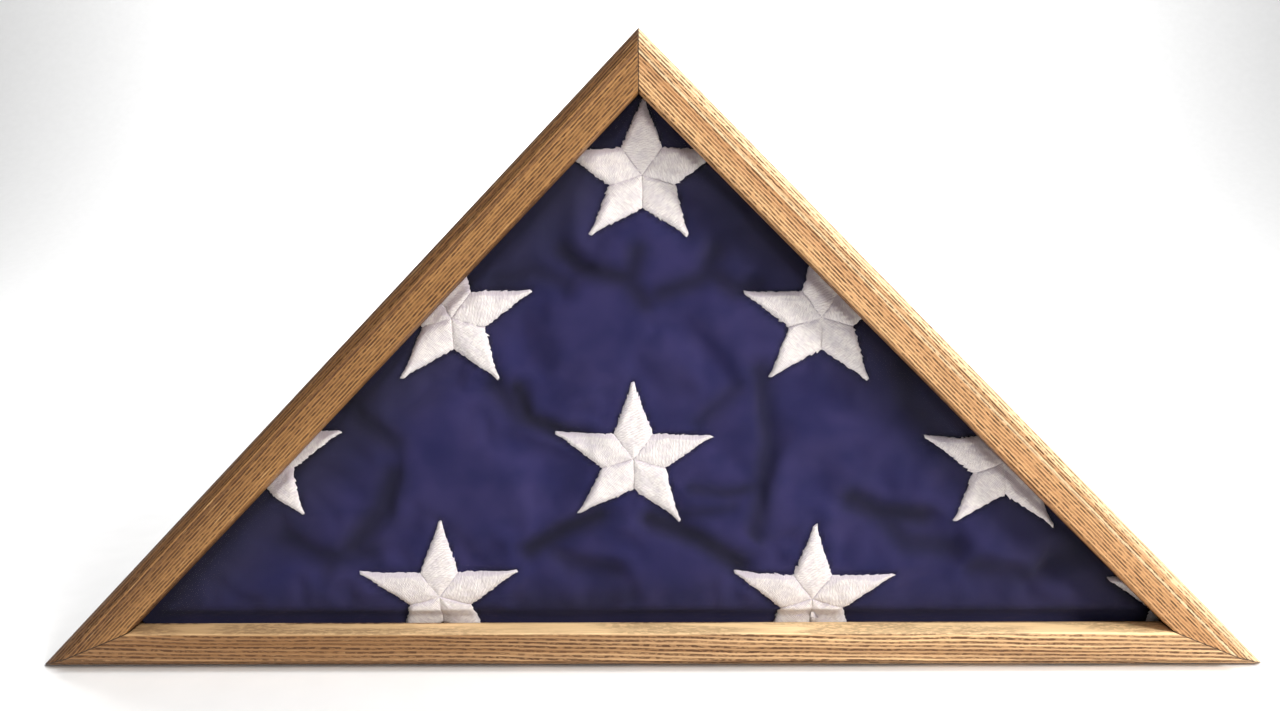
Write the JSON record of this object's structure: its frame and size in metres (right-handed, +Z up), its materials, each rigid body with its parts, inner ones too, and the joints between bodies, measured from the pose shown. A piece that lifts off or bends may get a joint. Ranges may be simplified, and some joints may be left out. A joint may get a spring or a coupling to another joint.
{
  "type": "folded flag display case",
  "caption": "Triangular oak display case with a mitred moulding, glass front, folded flag inside and a hinged drop-down back door.",
  "frame": {"origin": "middle of the flat underside, halfway between the moulding's front face and the boards' rear edges", "axes": "+Z up to the apex, +X right along the base as seen from the front, -Y out of the glass front"},
  "size_m": [0.66, 0.109, 0.33],
  "materials": {
    "oak": "satin lacquered honey oak",
    "plain_wood": "unfinished oak",
    "plywood": "oak-faced plywood, satin",
    "glass": "clear float glass",
    "flag_cloth": "navy cotton with white embroidered stars",
    "brass": "satin lacquered brass",
    "zinc_steel": "zinc-plated steel",
    "white_plastic": "moulded, fine texture",
    "magnet": "sintered ferrite",
    "rubber": "moulded black rubber"
  },
  "bodies": {
    "case": {"frame_left_rail": "oak", "frame_right_rail": "oak", "frame_bottom_rail": "oak", "glass_pane": "glass", "glazing_bead_left": "plain_wood", "glazing_bead_right": "plain_wood", "glazing_bead_bottom": "plain_wood", "side_board_left": "oak", "side_board_right": "oak", "bottom_board": "oak", "corner_block_left": "plain_wood", "corner_block_right": "plain_wood", "apex_block": "plain_wood", "door_stop_left": "plain_wood", "door_stop_right": "plain_wood", "folded_flag": "flag_cloth", "hinge_case_leaf_left": "brass", "hinge_case_leaf_right": "brass", "hinge_pin_left": "zinc_steel", "hinge_pin_right": "zinc_steel", "hinge_case_screws": "brass", "catch_housing": "white_plastic", "catch_magnets": "magnet", "catch_screws": "zinc_steel", "hanger_plate": "zinc_steel", "hanger_screws": "zinc_steel", "wall_bumpers": "rubber", "bumper_screws": "zinc_steel"},
    "back_door": {"back_panel": "plywood", "hinge_door_leaf_left": "brass", "hinge_door_leaf_right": "brass", "hinge_door_screws": "brass", "strike_plate": "zinc_steel", "strike_screws": "zinc_steel", "door_knob": "brass", "knob_screw": "zinc_steel"}
  },
  "joints": [
    {"name": "back_door_hinge", "type": "hinge", "parent": "case", "child": "back_door", "pos_m": [0, 0.0521, 0.01275], "axis": [-1, 0, 0], "range_deg": [0, 90]}
  ]
}
